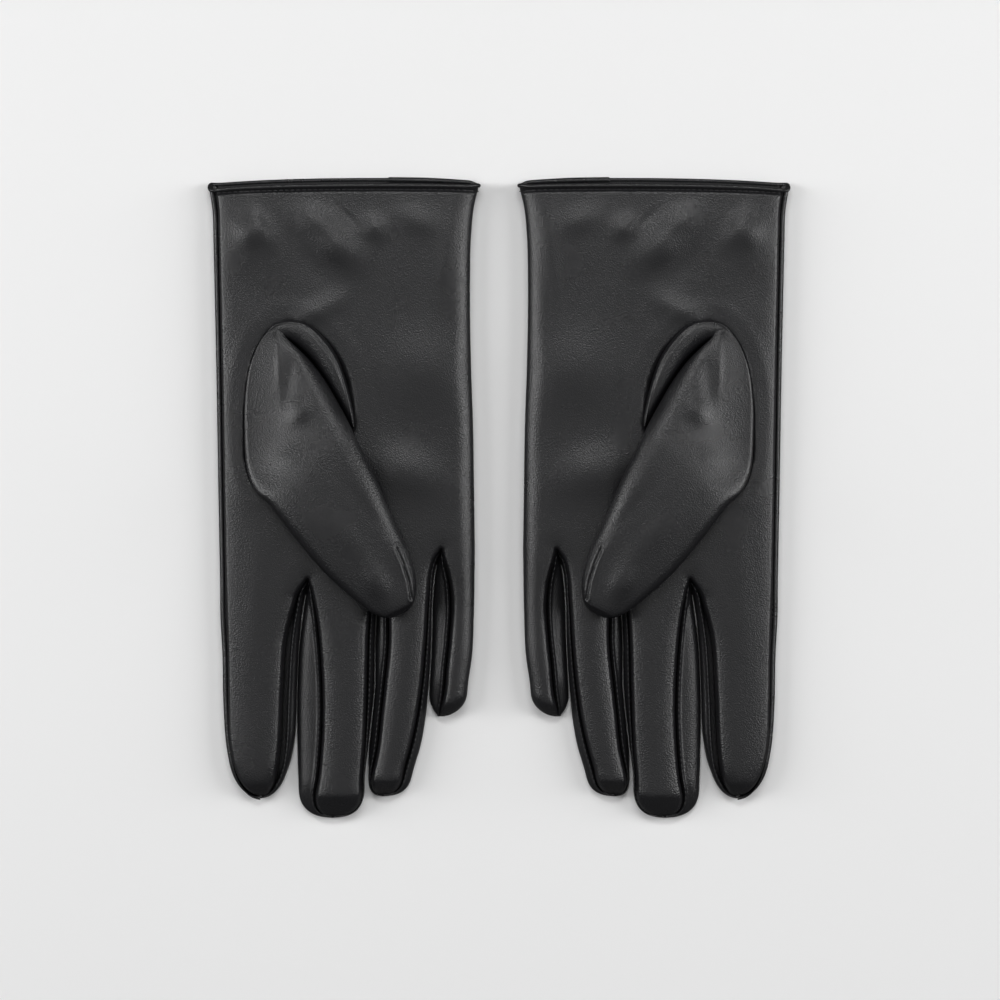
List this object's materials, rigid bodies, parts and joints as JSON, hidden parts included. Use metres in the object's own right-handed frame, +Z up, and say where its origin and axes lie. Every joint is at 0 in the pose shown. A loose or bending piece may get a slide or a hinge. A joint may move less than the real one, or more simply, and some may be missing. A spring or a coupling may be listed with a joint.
{
  "type": "leather gloves",
  "caption": "Pair of lined leather dress gloves lying flat, palms up, with set-in thumbs folded over the palms, side strips between the fingers and a narrow bound cuff",
  "frame": {"origin": "the middle of the floor area that the pair covers, on the surface that the gloves lie on", "axes": "+X from the right-hand glove to the left-hand glove, +Y from the fingertips to the cuffs, +Z up out of the palms"},
  "size_m": [0.226, 0.25, 0.0254],
  "materials": {
    "leather": "fine-grained black dress leather, semi-gloss",
    "fourchette_leather": "fine-grained black dress leather, a little flatter than the palm",
    "lining": "soft black knit, matt",
    "thread": "fine twisted black sewing thread"
  },
  "bodies": {
    "right_hand": {"right_trank": "leather", "right_side_seam": "leather", "right_index_middle_fork": "fourchette_leather", "right_middle_ring_fork": "fourchette_leather", "right_ring_little_fork": "fourchette_leather", "right_cuff_binding": "leather", "right_hem_stitching": "thread", "right_hand_lining": "lining", "right_thumb_gusset": "leather"},
    "right_thumb": {"right_thumb_leather": "leather", "right_thumb_lining": "lining"},
    "right_index": {"right_index_leather": "leather", "right_index_fourchette": "fourchette_leather", "right_index_lining": "lining"},
    "right_middle": {"right_middle_leather": "leather", "right_middle_index_fourchette": "fourchette_leather", "right_middle_ring_fourchette": "fourchette_leather", "right_middle_lining": "lining"},
    "right_ring": {"right_ring_leather": "leather", "right_ring_middle_fourchette": "fourchette_leather", "right_ring_little_fourchette": "fourchette_leather", "right_ring_lining": "lining"},
    "right_little": {"right_little_leather": "leather", "right_little_fourchette": "fourchette_leather", "right_little_lining": "lining"},
    "left_hand": {"left_trank": "leather", "left_side_seam": "leather", "left_index_middle_fork": "fourchette_leather", "left_middle_ring_fork": "fourchette_leather", "left_ring_little_fork": "fourchette_leather", "left_cuff_binding": "leather", "left_hem_stitching": "thread", "left_hand_lining": "lining", "left_thumb_gusset": "leather"},
    "left_thumb": {"left_thumb_leather": "leather", "left_thumb_lining": "lining"},
    "left_index": {"left_index_leather": "leather", "left_index_fourchette": "fourchette_leather", "left_index_lining": "lining"},
    "left_middle": {"left_middle_leather": "leather", "left_middle_index_fourchette": "fourchette_leather", "left_middle_ring_fourchette": "fourchette_leather", "left_middle_lining": "lining"},
    "left_ring": {"left_ring_leather": "leather", "left_ring_middle_fourchette": "fourchette_leather", "left_ring_little_fourchette": "fourchette_leather", "left_ring_lining": "lining"},
    "left_little": {"left_little_leather": "leather", "left_little_fourchette": "fourchette_leather", "left_little_lining": "lining"}
  },
  "joints": [
    {"name": "gloves_apart", "type": "slide", "parent": "right_hand", "child": "left_hand", "axis": [1, 0, 0], "range_m": [-0.01, 0.2]},
    {"name": "right_index_curl", "type": "hinge", "parent": "right_hand", "child": "right_index", "pos_m": [-0.0939, -0.05784, 0.006], "axis": [-0.9962, 0.0872, 0], "range_deg": [0, 80]},
    {"name": "right_middle_curl", "type": "hinge", "parent": "right_hand", "child": "right_middle", "pos_m": [-0.0625, -0.05697, 0.006], "axis": [-0.9962, 0.0872, 0], "range_deg": [0, 80]},
    {"name": "right_ring_curl", "type": "hinge", "parent": "right_hand", "child": "right_ring", "pos_m": [-0.03701, -0.05699, 0.006], "axis": [-0.9962, 0.0872, 0], "range_deg": [0, 80]},
    {"name": "right_little_curl", "type": "hinge", "parent": "right_hand", "child": "right_little", "pos_m": [-0.01718, -0.04608, 0.006], "axis": [-0.9962, 0.0872, 0], "range_deg": [0, 80]},
    {"name": "right_thumb_lift", "type": "hinge", "parent": "right_hand", "child": "right_thumb", "pos_m": [-0.077, 0.0164, 0.0189], "axis": [-0.7705, -0.6374, 0], "range_deg": [0, 75]},
    {"name": "left_index_curl", "type": "hinge", "parent": "left_hand", "child": "left_index", "pos_m": [0.0939, -0.05784, 0.006], "axis": [-0.9962, -0.0872, 0], "range_deg": [0, 80]},
    {"name": "left_middle_curl", "type": "hinge", "parent": "left_hand", "child": "left_middle", "pos_m": [0.0625, -0.05697, 0.006], "axis": [-0.9962, -0.0872, 0], "range_deg": [0, 80]},
    {"name": "left_ring_curl", "type": "hinge", "parent": "left_hand", "child": "left_ring", "pos_m": [0.03701, -0.05699, 0.006], "axis": [-0.9962, -0.0872, 0], "range_deg": [0, 80]},
    {"name": "left_little_curl", "type": "hinge", "parent": "left_hand", "child": "left_little", "pos_m": [0.01718, -0.04608, 0.006], "axis": [-0.9962, -0.0872, 0], "range_deg": [0, 80]},
    {"name": "left_thumb_lift", "type": "hinge", "parent": "left_hand", "child": "left_thumb", "pos_m": [0.077, 0.0164, 0.0189], "axis": [-0.7705, 0.6374, 0], "range_deg": [0, 75]}
  ]
}
